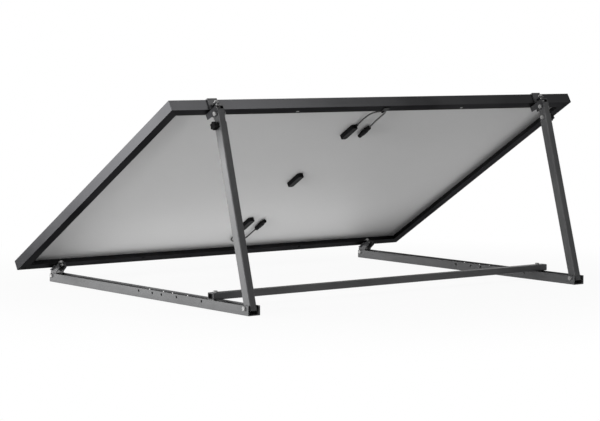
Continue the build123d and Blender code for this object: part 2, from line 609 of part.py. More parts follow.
def build_brackets():
    """Top and front brackets with their hooks, bolts and pivots."""
    clamp_x = CLAMP_SPACING / 2
    washers = []
    for name, side in SIDES.items():
        x = side * LEG_SPACING / 2
        top = bracket(TOP_EAR, EAR_OUT, 0, 1)
        top -= post(BOLT / 2 + BOLT_CLEARANCE, 0, CLAMP_BOLT_OUT, -1, PLATE + 1)
        save(f"top_bracket_{name}", at_top(top, x))
        save(f"top_hook_{name}", at_top(top_hook(), x))
        bolt, nut = clamp_bolt(CLAMP_BOLT_OUT, -13, PLATE)
        save(f"hook_bolt_{name}", at_top(bolt, x))
        save(f"hook_nut_{name}", at_top(nut, x))
        pivot = Location((-EAR_OUT, PIVOT_OUT, PIVOT_BEHIND)) * hex_bolt(2 * EAR_OUT + 8)
        nut = Location((0, PIVOT_OUT, PIVOT_BEHIND)) * hex_nut(EAR_OUT)
        save(f"pivot_bolt_{name}", at_top(pivot, x))
        save(f"pivot_nut_{name}", at_top(nut, x))
        front = bracket(FRONT_EAR, 22, -21, 16)
        shift = side * (clamp_x - LEG_SPACING / 2)
        front -= post(BOLT / 2 + BOLT_CLEARANCE, -shift, -FLANGE_HOLE_INSET, -1, PLATE + 1)
        save(f"front_bracket_{name}", at_front(front, x))
        bolt, nut = clamp_bolt(-FLANGE_HOLE_INSET, -FRAME_WALL - WASHER, PLATE)
        washer = post(WASHER_DIAMETER / 2, 0, -FLANGE_HOLE_INSET, -FRAME_WALL - WASHER, -FRAME_WALL)
        washer -= post(BOLT / 2 + RUNNING_CLEARANCE, 0, -FLANGE_HOLE_INSET, -FRAME_WALL - WASHER - 1, 0)
        washers.append(at_front(washer, side * clamp_x))
        save(f"flange_bolt_{name}", at_front(bolt, side * clamp_x))
        save(f"flange_nut_{name}", at_front(nut, side * clamp_x))
    save("flange_washers", *washers)


build_frame()
build_laminate()
build_boxes()
build_leads()
build_base()
build_legs()
build_brackets()
print("leg reach", round(LEG_REACH, 2), "lean", round(LEG_LEAN, 3))
print("top pivot", round(TOP_PIVOT_Y, 2), round(TOP_PIVOT_Z, 2))
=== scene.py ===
"""Looks of a tilting ballast mount for one framed solar module.

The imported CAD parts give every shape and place. This script gives them their finishes,
adds the cells, the sheathed leads and the threaded fasteners, and sets the studio.
"""
import math

import bpy
from bpy.props import FloatProperty, FloatVectorProperty, IntProperty, PointerProperty
from mathutils import Matrix, Vector


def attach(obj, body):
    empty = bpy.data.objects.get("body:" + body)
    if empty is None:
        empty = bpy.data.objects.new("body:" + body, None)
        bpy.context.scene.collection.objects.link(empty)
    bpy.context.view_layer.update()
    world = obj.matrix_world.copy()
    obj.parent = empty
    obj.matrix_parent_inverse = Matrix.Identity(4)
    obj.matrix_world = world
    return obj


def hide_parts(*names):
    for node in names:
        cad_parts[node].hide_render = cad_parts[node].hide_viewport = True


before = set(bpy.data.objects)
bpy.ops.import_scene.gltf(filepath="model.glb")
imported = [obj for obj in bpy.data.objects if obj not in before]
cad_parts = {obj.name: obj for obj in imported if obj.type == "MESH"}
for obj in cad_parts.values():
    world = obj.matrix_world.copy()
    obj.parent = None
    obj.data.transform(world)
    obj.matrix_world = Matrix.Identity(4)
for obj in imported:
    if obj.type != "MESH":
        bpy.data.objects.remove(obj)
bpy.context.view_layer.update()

bl_info = {
    "name": "Ballast mount finishes",
    "version": (1, 0, 0),
    "blender": (4, 5, 0),
    "location": "3D View > Sidebar > Ballast mount",
    "description": "Finishes, cells, leads and fasteners of a tilting solar ballast mount",
    "category": "Object",
}

SIDES = {"left": -1, "right": 1}
MM = 0.001

# ---- where the CAD pieces stand, in millimetres ------------------------------------------
TILT = math.radians(30.7)
MODULE_WIDTH = 1134.0
HINGE = (583.1, 23.0)        # Y and Z of the front hinge pins
PIVOT_OUT = 15.0             # both rows of pins lie this far beyond the module's edges
PIVOT_BEHIND = 23.0          # and this far behind its rear face
LEG_SPACING = 1400.0
CLAMP_SPACING = 1392.0
FOOT = (-582.9, 21.5)        # Y and Z of the leg pins
LEG_LEAN = math.radians(15.492)
LEG_WIDTH = 27.0
KNOB_AT = 579.03             # locking bolt, from the leg pin along the leg
RAIL_WIDTH = 45.0
RAIL_FLOOR = 2.5             # inner face of the rail's floor
CROSSBAR_Y = -393.4
CROSSBAR_TOP = 53.0
EAR_OUT = 14.7               # outer face of a top bracket's ear, from the leg's middle
PLATE = 3.0                  # bracket plate
CLAMP_BOLT_OUT = 19.5        # hook clamp bolt, beyond the module's top edge
FLANGE_HOLE_INSET = 27.0     # flange clamp bolt, inside the module's bottom edge
UNDER_GLASS = 30.3           # underside of the glass, from the frame's rear


def module_to_world(x, y, z):
    """Module frame (x along, y down the slope from the hinge pins, z out of the glass)."""
    cos, sin = math.cos(TILT), math.sin(TILT)
    return Vector((x, HINGE[0] + y * cos + z * sin, HINGE[1] - y * sin + z * cos)) * MM


def on_sheet(x, from_top, height):
    """World point from the distance below the top edge and the height off the frame's rear."""
    return module_to_world(x, from_top - PIVOT_OUT - MODULE_WIDTH, height + PIVOT_BEHIND)


GLASS_NORMAL = Vector((0, math.sin(TILT), math.cos(TILT)))


# ---- settings that a user would change ---------------------------------------------------
def colour(name, description, default):
    """Colour property."""
    return FloatVectorProperty(name=name, description=description, default=default,
                               size=3, subtype="COLOR", min=0.0, max=1.0)


def length(name, description, default):
    """Length property in metres."""
    return FloatProperty(name=name, description=description, default=default,
                         min=0.0, subtype="DISTANCE", unit="LENGTH")


def power(name, description, default):
    """Lamp power property in watts."""
    return FloatProperty(name=name, description=description, default=default,
                         min=0.0, subtype="POWER")


class MountFinishes(bpy.types.PropertyGroup):
    """Colours of the finishes."""
    frame_black: colour("Module frame", "Black anodised module frame", (0.026, 0.026, 0.027))
    aluminium: colour("Rails and legs", "Dark anodised rails, legs and crossbar",
                      (0.080, 0.0805, 0.082))
    bracket: colour("Brackets", "Coated steel brackets and hooks", (0.035, 0.035, 0.037))
    zinc: colour("Fasteners", "Dull zinc plated bolts, nuts and sleeves", (0.27, 0.27, 0.268))
    backsheet: colour("Backsheet", "Rear sheet of the laminate", (0.50, 0.50, 0.50))
    cell: colour("Cells", "Solar cells under the glass", (0.010, 0.014, 0.035))
    plastic: colour("Plastic", "Boxes, plugs, knobs and caps", (0.003, 0.003, 0.0032))
    sheath: colour("Lead sheath", "Sheath of the two leads", (0.006, 0.006, 0.006))


class MountSizes(bpy.types.PropertyGroup):
    """Sizes of what this script adds."""
    lead: length("Lead", "Outer diameter of a lead", 0.0056)
    cell_short: length("Half cell short side", "Along the module", 0.091)
    cell_long: length("Half cell long side", "Down the slope", 0.182)
    cell_gap: length("Cell gap", "Between neighbouring cells of a row", 0.0015)
    centre_gap: length("Centre gap", "Between the two module halves", 0.015)
    ribbon: length("Ribbon", "Width of a busbar ribbon", 0.0009)
    ribbons: IntProperty(name="Ribbons", description="Busbar ribbons across one cell",
                         default=10, min=1, max=20)
    thread: length("Thread pitch", "Pitch of the M8 threads", 0.00125)


class MountStudio(bpy.types.PropertyGroup):
    """Floor, lamps and camera."""
    floor: colour("Floor", "Plain pale floor", (0.86, 0.86, 0.86))
    floor_white: FloatProperty(name="Floor whiteness", default=0.93, min=0.0, max=1.0,
                               description="Share of plain white the floor shows beside its shading",
                               subtype="FACTOR")
    key: power("Side lamp", "Large lamp to the left, beyond the low front edge", 158.0)
    top: power("Top lamp", "Lamp above the high rear edge", 17.0)
    left: power("Left lamp", "Low lamp to the left of the mount", 110.0)
    glow: power("Floor glow", "Unit of the lamps that lie on the floor under the module", 1.0)
    world: FloatProperty(name="Room light", default=0.11, min=0.0,
                         description="Even room light on matt faces; reflections see a white room")
    lens: FloatProperty(name="Lens", description="Focal length for a 36 mm sensor", default=122.26,
                        min=1.0, subtype="DISTANCE_CAMERA")
    camera_turn: FloatProperty(name="Camera turn", description="Heading from +Y towards +X",
                               default=math.radians(37.255), subtype="ANGLE")
    camera_dip: FloatProperty(name="Camera dip", description="Dip below the horizon",
                              default=math.radians(4.457), subtype="ANGLE")


# ---- node helpers ------------------------------------------------------------------------
def add(tree, kind, inputs=None, **settings):
    """New node with its settings; an input may be a value or a socket to link from."""
    made = tree.nodes.new(kind)
    for name, value in settings.items():
        setattr(made, name, value)
    for socket, value in (inputs or {}).items():
        if isinstance(value, bpy.types.NodeSocket):
            tree.links.new(value, made.inputs[socket])
        else:
            made.inputs[socket].default_value = value
    return made


def spread(tree, value, low, high):
    """Map a 0 to 1 value to a range."""
    made = add(tree, "ShaderNodeMapRange", {"Value": value, "To Min": low, "To Max": high})
    return made.outputs["Result"]


def new_group(name, inputs, outputs):
    """Empty shader group with named sockets; returns the tree and its two end nodes."""
    tree = bpy.data.node_groups.new(name, "ShaderNodeTree")
    for label, kind, default in inputs:
        socket = tree.interface.new_socket(name=label, in_out="INPUT", socket_type=kind)
        if default is not None:
            socket.default_value = default
    for label, kind in outputs:
        tree.interface.new_socket(name=label, in_out="OUTPUT", socket_type=kind)
    return tree, tree.nodes.new("NodeGroupInput"), tree.nodes.new("NodeGroupOutput")


def die_lines_group():
    """Fine straight lines that an extrusion keeps along its length (local X)."""
    tree, given, out = new_group(
        "die_lines",
        [("Vector", "NodeSocketVector", None), ("Fineness", "NodeSocketFloat", 600.0)],
        [("Lines", "NodeSocketFloat")])
    across = add(tree, "ShaderNodeCombineXYZ", {"X": 0.004, "Y": 1.0, "Z": 1.0})
    squeezed = add(tree, "ShaderNodeVectorMath", {0: given.outputs["Vector"], 1: across.outputs[0]},
                   operation="MULTIPLY")
    noise = add(tree, "ShaderNodeTexNoise",
                {"Vector": squeezed.outputs[0], "Scale": given.outputs["Fineness"], "Detail": 3.0})
    tree.links.new(noise.outputs["Fac"], out.inputs["Lines"])
    return tree


def handling_group():
    """Soft cloudy marks from handling and weather."""
    tree, given, out = new_group(
        "handling_marks",
        [("Vector", "NodeSocketVector", None), ("Size", "NodeSocketFloat", 9.0),
         ("Sharpness", "NodeSocketFloat", 0.5)],
        [("Marks", "NodeSocketFloat")])
    wide = add(tree, "ShaderNodeTexNoise",
               {"Vector": given.outputs["Vector"], "Scale": given.outputs["Size"],
                "Detail": 5.0, "Roughness": given.outputs["Sharpness"]})
    clear = add(tree, "ShaderNodeMapRange",
                {"Value": wide.outputs["Fac"], "From Min": 0.3, "From Max": 0.7},
                interpolation_type="SMOOTHSTEP")
    tree.links.new(clear.outputs["Result"], out.inputs["Marks"])
    return tree


def fine_grain_group():
    """Fine even grain, as of moulded plastic or a coating."""
    tree, given, out = new_group(
        "fine_grain",
        [("Vector", "NodeSocketVector", None), ("Fineness", "NodeSocketFloat", 1800.0)],
        [("Grain", "NodeSocketFloat")])
    cells = add(tree, "ShaderNodeTexVoronoi",
                {"Vector": given.outputs["Vector"], "Scale": given.outputs["Fineness"]},
                feature="SMOOTH_F1")
    noise = add(tree, "ShaderNodeTexNoise",
                {"Vector": given.outputs["Vector"], "Scale": given.outputs["Fineness"], "Detail": 2.0})
    mixed = add(tree, "ShaderNodeMix",
                {"Factor": 0.5, "A": cells.outputs["Distance"], "B": noise.outputs["Fac"]})
    tree.links.new(mixed.outputs["Result"], out.inputs["Grain"])
    return tree


GROUP_MAKERS = {
    "die_lines": die_lines_group,
    "handling_marks": handling_group,
    "fine_grain": fine_grain_group,
}
GROUPS = {}


def use_group(tree, name, **inputs):
    """Place one of the shared groups, made on first use; returns its output."""
    if name not in GROUPS:
        GROUPS[name] = GROUP_MAKERS[name]()
    made = tree.nodes.new("ShaderNodeGroup")
    made.node_tree = GROUPS[name]
    for label, value in inputs.items():
        socket = made.inputs[label]
        if isinstance(value, bpy.types.NodeSocket):
            tree.links.new(value, socket)
        else:
            socket.default_value = value
    return made.outputs[0]


def new_material(name):
    """Material with a bare Principled shader; returns material, tree and shader."""
    material = bpy.data.materials.new(name)
    material.use_nodes = True
    shader = material.node_tree.nodes["Principled BSDF"]
    return material, material.node_tree, shader


def object_vector(tree, turn=(0.0, 0.0, 0.0)):
    """Object coordinates, turned if a turn is given."""
    place = add(tree, "ShaderNodeTexCoord")
    turned = add(tree, "ShaderNodeMapping", {"Vector": place.outputs["Object"], "Rotation": turn})
    return turned.outputs["Vector"]


def tinted(tree, base, value, low, high):
    """Base colour lightened and darkened by a 0 to 1 value."""
    factor = spread(tree, value, low, high)
    made = add(tree, "ShaderNodeVectorMath", {0: (*base[:3],), 1: factor}, operation="MULTIPLY")
    return made.outputs[0]


def bump(tree, height, strength, distance, under=None):
    """Bump from a height value, over another normal if one is given."""
    inputs = {"Height": height, "Strength": strength, "Distance": distance}
    if under is not None:
        inputs["Normal"] = under
    return add(tree, "ShaderNodeBump", inputs).outputs["Normal"]


# ---- finishes ----------------------------------------------------------------------------
# turns that bring local X along the piece
ALONG = {
    "across": (0.0, 0.0, 0.0),
    "slope": (0.0, 0.0, math.radians(-90)),
    "leg": (0.0, math.radians(90), 0.0),
}


def extruded_metal(name, base, turn, metallic, roughness, specular=0.5, edge=1.0):
    """Anodised extrusion with die lines along it and faint handling marks.

    A low metallic share makes it dull. A low edge tint holds back the bright rim that
    a metal shows at a grazing angle.
    """
    material, tree, shader = new_material(name)
    vector = object_vector(tree, turn)
    lines = use_group(tree, "die_lines", Vector=vector, Fineness=700.0)
    marks = use_group(tree, "handling_marks", Vector=vector, Size=7.0)
    tint = tinted(tree, base, marks, 0.90, 1.10)
    streaked = add(tree, "ShaderNodeVectorMath", {0: tint, 1: spread(tree, lines, 0.86, 1.14)},
                   operation="MULTIPLY")
    tree.links.new(streaked.outputs[0], shader.inputs["Base Color"])
    rough = add(tree, "ShaderNodeMath", {0: spread(tree, lines, -0.05, 0.05),
                                         1: spread(tree, marks, roughness - 0.04, roughness + 0.04)},
                operation="ADD")
    tree.links.new(rough.outputs[0], shader.inputs["Roughness"])
    tree.links.new(bump(tree, lines, 0.25, 0.00008), shader.inputs["Normal"])
    shader.inputs["Metallic"].default_value = metallic
    shader.inputs["Specular IOR Level"].default_value = specular
    shader.inputs["Specular Tint"].default_value = (edge, edge, edge, 1.0)
    return material


def coated_steel(name, base, roughness):
    """Satin powder coating."""
    material, tree, shader = new_material(name)
    vector = object_vector(tree)
    grain = use_group(tree, "fine_grain", Vector=vector, Fineness=1400.0)
    marks = use_group(tree, "handling_marks", Vector=vector, Size=22.0)
    tree.links.new(tinted(tree, base, marks, 0.85, 1.15), shader.inputs["Base Color"])
    tree.links.new(spread(tree, marks, roughness - 0.05, roughness + 0.05), shader.inputs["Roughness"])
    tree.links.new(bump(tree, grain, 0.3, 0.00006), shader.inputs["Normal"])
    shader.inputs["Specular IOR Level"].default_value = 0.25
    return material


def zinc_plate(name, base):
    """Dull zinc plating with a faint cloudy sheen."""
    material, tree, shader = new_material(name)
    vector = object_vector(tree)
    marks = use_group(tree, "handling_marks", Vector=vector, Size=160.0, Sharpness=0.6)
    grain = use_group(tree, "fine_grain", Vector=vector, Fineness=2500.0)
    tree.links.new(tinted(tree, base, marks, 0.88, 1.06), shader.inputs["Base Color"])
    tree.links.new(spread(tree, marks, 0.46, 0.58), shader.inputs["Roughness"])
    tree.links.new(bump(tree, grain, 0.15, 0.00003), shader.inputs["Normal"])
    shader.inputs["Metallic"].default_value = 0.1
    shader.inputs["Specular IOR Level"].default_value = 0.2
    return material


def moulded_plastic(name, base, roughness, fineness=1600.0):
    """Black moulded plastic with a fine texture."""
    material, tree, shader = new_material(name)
    vector = object_vector(tree)
    grain = use_group(tree, "fine_grain", Vector=vector, Fineness=fineness)
    marks = use_group(tree, "handling_marks", Vector=vector, Size=35.0)
    tree.links.new(tinted(tree, base, marks, 0.85, 1.2), shader.inputs["Base Color"])
    tree.links.new(spread(tree, marks, roughness - 0.06, roughness + 0.06), shader.inputs["Roughness"])
    tree.links.new(bump(tree, grain, 0.35, 0.00008), shader.inputs["Normal"])
    shader.inputs["Specular IOR Level"].default_value = 0.05
    return material


def sheath_rubber(name, base):
    """Matt lead sheath, a little dusty."""
    material, tree, shader = new_material(name)
    vector = object_vector(tree)
    grain = use_group(tree, "fine_grain", Vector=vector, Fineness=2600.0)
    marks = use_group(tree, "handling_marks", Vector=vector, Size=60.0)
    tree.links.new(tinted(tree, base, marks, 0.8, 1.5), shader.inputs["Base Color"])
    tree.links.new(spread(tree, marks, 0.45, 0.6), shader.inputs["Roughness"])
    tree.links.new(bump(tree, grain, 0.25, 0.00005), shader.inputs["Normal"])
    return material


def rear_sheet(name, base):
    """Matt laminated sheet with a faint relief and slight unevenness of tone."""
    material, tree, shader = new_material(name)
    vector = object_vector(tree)
    marks = use_group(tree, "handling_marks", Vector=vector, Size=2.6, Sharpness=0.45)
    grain = use_group(tree, "fine_grain", Vector=vector, Fineness=900.0)
    waves = add(tree, "ShaderNodeTexNoise", {"Vector": vector, "Scale": 11.0, "Detail": 2.0})
    tree.links.new(tinted(tree, base, marks, 0.975, 1.02), shader.inputs["Base Color"])
    tree.links.new(spread(tree, marks, 0.52, 0.6), shader.inputs["Roughness"])
    soft = bump(tree, waves.outputs["Fac"], 0.35, 0.0012)
    tree.links.new(bump(tree, grain, 0.2, 0.00006, soft), shader.inputs["Normal"])
    shader.inputs["Specular IOR Level"].default_value = 0.3
    return material


def cell_silicon(name, base):
    """Dark blue-black cell with very fine contact fingers."""
    material, tree, shader = new_material(name)
    vector = object_vector(tree)
    fingers = add(tree, "ShaderNodeTexWave", {"Vector": vector, "Scale": 105.0, "Distortion": 0.0},
                  wave_type="BANDS", bands_direction="X", wave_profile="SIN")
    thin = add(tree, "ShaderNodeMapRange",
               {"Value": fingers.outputs["Fac"], "From Min": 0.93, "From Max": 1.0, "To Max": 0.35})
    marks = use_group(tree, "handling_marks", Vector=vector, Size=4.0)
    body = tinted(tree, base, marks, 0.85, 1.2)
    # sockets 6 and 7 of a mix node are its colours A and B, and output 2 is their mix
    mixed = add(tree, "ShaderNodeMix", {6: body, 7: (0.16, 0.17, 0.19, 1.0)}, data_type="RGBA")
    tree.links.new(thin.outputs["Result"], mixed.inputs["Factor"])
    tree.links.new(mixed.outputs[2], shader.inputs["Base Color"])
    tree.links.new(spread(tree, marks, 0.30, 0.38), shader.inputs["Roughness"])
    return material


def tinned_copper(name):
    """Tinned ribbon."""
    material, tree, shader = new_material(name)
    vector = object_vector(tree)
    marks = use_group(tree, "handling_marks", Vector=vector, Size=120.0)
    tree.links.new(tinted(tree, (0.62, 0.63, 0.65), marks, 0.85, 1.1), shader.inputs["Base Color"])
    tree.links.new(spread(tree, marks, 0.3, 0.45), shader.inputs["Roughness"])
    shader.inputs["Metallic"].default_value = 1.0
    return material


def laminate_white(name):
    """Pale sheet that shows between the cells."""
    material, tree, shader = new_material(name)
    vector = object_vector(tree)
    marks = use_group(tree, "handling_marks", Vector=vector, Size=8.0)
    tree.links.new(tinted(tree, (0.62, 0.62, 0.61), marks, 0.97, 1.02), shader.inputs["Base Color"])
    tree.links.new(spread(tree, marks, 0.45, 0.55), shader.inputs["Roughness"])
    return material


def solar_glass(name):
    """Clear textured glass that lets the lamps through to the cells."""
    material, tree, shader = new_material(name)
    vector = object_vector(tree)
    stipple = use_group(tree, "fine_grain", Vector=vector, Fineness=520.0)
    marks = use_group(tree, "handling_marks", Vector=vector, Size=3.0)
    tree.links.new(spread(tree, marks, 0.03, 0.07), shader.inputs["Roughness"])
    tree.links.new(bump(tree, stipple, 0.08, 0.0001), shader.inputs["Normal"])
    tree.links.new(tinted(tree, (0.94, 0.97, 0.96), marks, 0.99, 1.0), shader.inputs["Base Color"])
    shader.inputs["Transmission Weight"].default_value = 1.0
    shader.inputs["IOR"].default_value = 1.45
    clear = add(tree, "ShaderNodeBsdfTransparent", {"Color": (0.93, 0.95, 0.94, 1.0)})
    path = add(tree, "ShaderNodeLightPath")
    mixed = add(tree, "ShaderNodeMixShader", {0: path.outputs["Is Shadow Ray"]})
    tree.links.new(shader.outputs[0], mixed.inputs[1])
    tree.links.new(clear.outputs[0], mixed.inputs[2])
    tree.links.new(mixed.outputs[0], tree.nodes["Material Output"].inputs["Surface"])
    return material


def dress(material, *names):
    """Give CAD nodes one finish."""
    for name in names:
        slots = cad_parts[name].data.materials
        slots.clear()
        slots.append(material)


def both(*stems):
    """Left and right names of paired pieces."""
    return [f"{stem}_{side}" for stem in stems for side in SIDES]


# ---- mesh helpers ------------------------------------------------------------------------
def mesh_object(name, points, faces, material):
    """Flat shaded object from points and faces, in metres."""
    mesh = bpy.data.meshes.new(name)
    mesh.from_pydata([tuple(p) for p in points], [], faces)
    mesh.validate()
    made = bpy.data.objects.new(name, mesh)
    bpy.context.scene.collection.objects.link(made)
    mesh.materials.append(material)
    return made


def rings_mesh(rings, close_start=True, close_end=True):
    """Points and faces of a skin over equal rings, with flat ends."""
    points = [p for ring in rings for p in ring]
    count = len(rings[0])
    faces = []
    for row in range(len(rings) - 1):
        for i in range(count):
            j = (i + 1) % count
            a, b = row * count, (row + 1) * count
            faces.append((a + i, a + j, b + j, b + i))
    if close_start:
        faces.append(tuple(reversed(range(count))))
    if close_end:
        faces.append(tuple(range(len(points) - count, len(points))))
    return points, faces


def merge(parts):
    """Join several (points, faces) pairs."""
    points, faces = [], []
    for more_points, more_faces in parts:
        start = len(points)
        points += more_points
        faces += [tuple(start + i for i in face) for face in more_faces]
    return points, faces


def placed(part, place):
    """Points moved by a matrix."""
    points, faces = part
    return [place @ Vector(p) for p in points], faces


# ---- fasteners ---------------------------------------------------------------------------
AROUND = 48                      # points of a ring on a head or a nut
AROUND_THREAD = AROUND // 2
ACROSS_FLATS = 13.0 * MM
HEAD_DEPTH = 5.3 * MM
NUT_DEPTH = 6.5 * MM
THREAD_RADIUS = 4.0 * MM
THREAD_DEPTH = 0.61              # in pitches
THREAD_ROWS = 4                  # rings of points in one pitch
CREST_FLAT = 1.25                # above 1, this flattens the crests
TIP_SLOPE = 0.9
CHAMFER_AT = 0.97                # start of the corner chamfer, in half widths across flats
CHAMFER_SLOPE = math.tan(math.radians(30))
SHARP_DEGREES = 35

# shank length, plain length under the head and start of the nut, in metres
LOCKING_STUD = (0.042, 0.012, None)
HOOK_CLAMP = (0.025, 0.006, 0.016)
FLANGE_CLAMP = (0.0154, 0.003, 0.0064)
RAIL_PIN_PLAIN = 0.03
PIVOT_PIN_PLAIN = 0.016
HOLD_DOWN_PLAIN = 0.03
RAIL_PIN_BEYOND = 9              # end of a rail pin beyond the rail, in millimetres
PIVOT_PIN_BEYOND = 8             # and of a pivot pin beyond its bracket


def hex_radius(angle):
    """Distance to the side of the hexagon in a direction."""
    sector = math.radians(60)
    folded = (angle + sector / 2) % sector - sector / 2
    return ACROSS_FLATS / 2 / math.cos(folded)


def hex_ring(z, limit=None, drop=0.0):
    """Hexagon ring; past a limit radius its corners slope off, down for a drop of 1, up for -1."""
    ring = []
    for i in range(AROUND):
        angle = 2 * math.pi * i / AROUND
        radius = hex_radius(angle)
        lower = 0.0
        if limit is not None:
            lower = max(0.0, radius - limit) * CHAMFER_SLOPE * drop
        ring.append((radius * math.cos(angle), radius * math.sin(angle), z - lower))
    return ring


def round_ring(radius, z, count=AROUND):
    """Plain ring."""
    step = 2 * math.pi / count
    return [(radius * math.cos(i * step), radius * math.sin(i * step), z) for i in range(count)]


def bolt_head():
    """Chamfered head with a dished top; its seat is z = 0 and it rises to -HEAD_DEPTH."""
    limit = ACROSS_FLATS / 2 * CHAMFER_AT
    bearing_step = 0.15 * MM
    dish = ((0.72, 0.0), (0.62, 0.5), (0.2, 0.7))    # radius over the limit, depth in millimetres
    rings = [round_ring(limit * CHAMFER_AT, 0.0), hex_ring(-bearing_step),
             hex_ring(-HEAD_DEPTH, limit, -1.0), round_ring(limit, -HEAD_DEPTH)]
    rings += [round_ring(limit * share, -HEAD_DEPTH + depth * MM) for share, depth in dish]
    return rings_mesh([list(reversed(ring)) for ring in rings])


def threaded_shank(length_m, plain, pitch):
    """Shank from z = 0: plain first, then a real helical thread with a chamfered tip."""
    crest, root = THREAD_RADIUS, THREAD_RADIUS - THREAD_DEPTH * pitch
    rings = [round_ring(crest, z, AROUND_THREAD) for z in (0.0, plain)]
    rows = max(2, int((length_m - plain) / pitch * THREAD_ROWS))
    for row in range(rows + 1):
        z = plain + (length_m - plain) * row / rows
        ring = []
        for i in range(AROUND_THREAD):
            angle = 2 * math.pi * i / AROUND_THREAD
            phase = (z / pitch - angle / (2 * math.pi)) % 1.0
            depth = 1.0 - abs(2.0 * phase - 1.0)
            radius = root + (crest - root) * min(1.0, depth * CREST_FLAT)
            radius = min(radius, crest - max(0.0, z - (length_m - pitch)) * TIP_SLOPE)
            ring.append((radius * math.cos(angle), radius * math.sin(angle), z))
        rings.append(ring)
    return rings_mesh(rings)


def nut_body(start):
    """Nut with both corners chamfered, from z = start onwards."""
    limit = ACROSS_FLATS / 2 * CHAMFER_AT
    end = start + NUT_DEPTH
    bore = THREAD_RADIUS * 1.02
    mouth = bore * 1.08
    sink = 0.4 * MM
    rings = [round_ring(bore, start + sink), round_ring(mouth, start), round_ring(limit, start),
             hex_ring(start, limit, -1.0), hex_ring(end, limit, 1.0), round_ring(limit, end),
             round_ring(mouth, end), round_ring(bore, end - sink)]
    return rings_mesh(rings, close_start=False, close_end=False)


def facing(seat, direction):
    """Matrix that puts local +Z along a direction at a point."""
    turn = Vector(direction).to_track_quat("Z", "Y").to_matrix().to_4x4()
    return Matrix.Translation(seat) @ turn


def fasten(name, body, material, bolts, replaced, pitch):
    """One piece with like bolts and nuts. A bolt is (seat, direction, shank, plain, nut start)."""
    parts = []
    for seat, direction, shank, plain, nut_start in bolts:
        place = facing(seat, direction)
        if shank is not None:
            parts.append(placed(bolt_head(), place))
            parts.append(placed(threaded_shank(shank, plain, pitch), place))
        if nut_start is not None:
            parts.append(placed(nut_body(nut_start), place))
    points, faces = merge(parts)
    made = mesh_object(name, points, faces, material)
    shade_by_angle(made)
    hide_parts(*replaced)
    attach(made, body)
    return made


def shade_by_angle(made):
    """Smooth shading with sharp edges kept."""
    mesh = made.data
    for face in mesh.polygons:
        face.use_smooth = True
    mesh.set_sharp_from_angle(angle=math.radians(SHARP_DEGREES))


FINISH = {}


def finish(name):
    """A finish by name, made on first use."""
    tones = bpy.context.scene.mount_finishes

    def frame_member(label, along):
        return extruded_metal(label, tones.frame_black, ALONG[along],
                              metallic=1.0, roughness=0.34, specular=0.2, edge=0.4)

    def base_member(label, along):
        return extruded_metal(label, tones.aluminium, ALONG[along],
                              metallic=0.12, roughness=0.40, specular=0.15, edge=0.4)

    makers = {
        "frame_across": lambda: frame_member("frame_across", "across"),
        "frame_slope": lambda: frame_member("frame_slope", "slope"),
        "rail_metal": lambda: base_member("rail_metal", "slope"),
        "crossbar_metal": lambda: base_member("crossbar_metal", "across"),
        "leg_metal": lambda: base_member("leg_metal", "leg"),
        "bracket_coat": lambda: coated_steel("bracket_coat", tones.bracket, 0.42),
        "zinc": lambda: zinc_plate("zinc", tones.zinc),
        "box_plastic": lambda: moulded_plastic("box_plastic", tones.plastic, 0.58),
        "plug_plastic": lambda: moulded_plastic("plug_plastic", tones.plastic, 0.38),
        "knob_plastic": lambda: moulded_plastic("knob_plastic", tones.plastic, 0.5),
        "sheath": lambda: sheath_rubber("sheath", tones.sheath),
        "backsheet": lambda: rear_sheet("backsheet_face", tones.backsheet),
        "cell": lambda: cell_silicon("cell_silicon", tones.cell),
        "ribbon": lambda: tinned_copper("tinned_ribbon"),
        "laminate": lambda: laminate_white("laminate_white"),
        "glass": lambda: solar_glass("solar_glass"),
        "cut_metal": lambda: extruded_metal("cut_metal", (0.6, 0.6, 0.62), ALONG["across"],
                                            metallic=1.0, roughness=0.35),
    }
    if name not in FINISH:
        FINISH[name] = makers[name]()
    return FINISH[name]


# ---- studio, in metres -------------------------------------------------------------------
CAMERA_AT = (-4.3558, -5.6422, 0.8101)
FLOOR_HALF = 40.0
FLOOR_Z = -0.0003                # just below the feet
FLOOR_FADE = (0.7, 1.9)          # distances over which the floor's shading fades to plain white

# name, place, target, width and height, and the setting that holds the power
LAMPS = (
    ("side_lamp", (-3.1, 2.9, 0.5), (-0.5, -0.3, 0.2), (2.4, 1.0), "key"),
    ("top_lamp", (0.55, -1.5, 2.2), (-0.6, -0.3, 0.5), (0.9, 0.9), "top"),
    ("left_lamp", (-3.6, -0.6, 0.30), (0.3, 0.0, 0.05), (1.8, 0.5), "left"),
)

# Lamps that lie on the floor and shine up, for light that a pale floor returns under the
# module: name, X and Y of the middle, size along X and Y, and share of the glow setting.
GLOWS = (
    ("glow_middle", 0.0, 0.02, (1.30, 1.10), 1.1),
    ("glow_front", 0.0, 0.40, (1.30, 0.36), 0.8),
    ("glow_left", -1.15, 0.05, (0.80, 1.10), 1.0),
    ("glow_right", 1.15, 0.05, (0.80, 1.10), 1.5),
)
GLOW_Z = 0.003
GLOW_LEAN = 0.01                 # a hair off straight up, so that the lamp's turn is settled


def seen_ray(tree):
    """1 for a ray from the camera, a reflection or clear glass, and 0 for any other."""
    path = add(tree, "ShaderNodeLightPath")
    seen = path.outputs["Is Camera Ray"]
    for kind in ("Is Glossy Ray", "Is Transmission Ray"):
        seen = add(tree, "ShaderNodeMath", {0: seen, 1: path.outputs[kind]},
                   operation="MAXIMUM").outputs[0]
    return seen


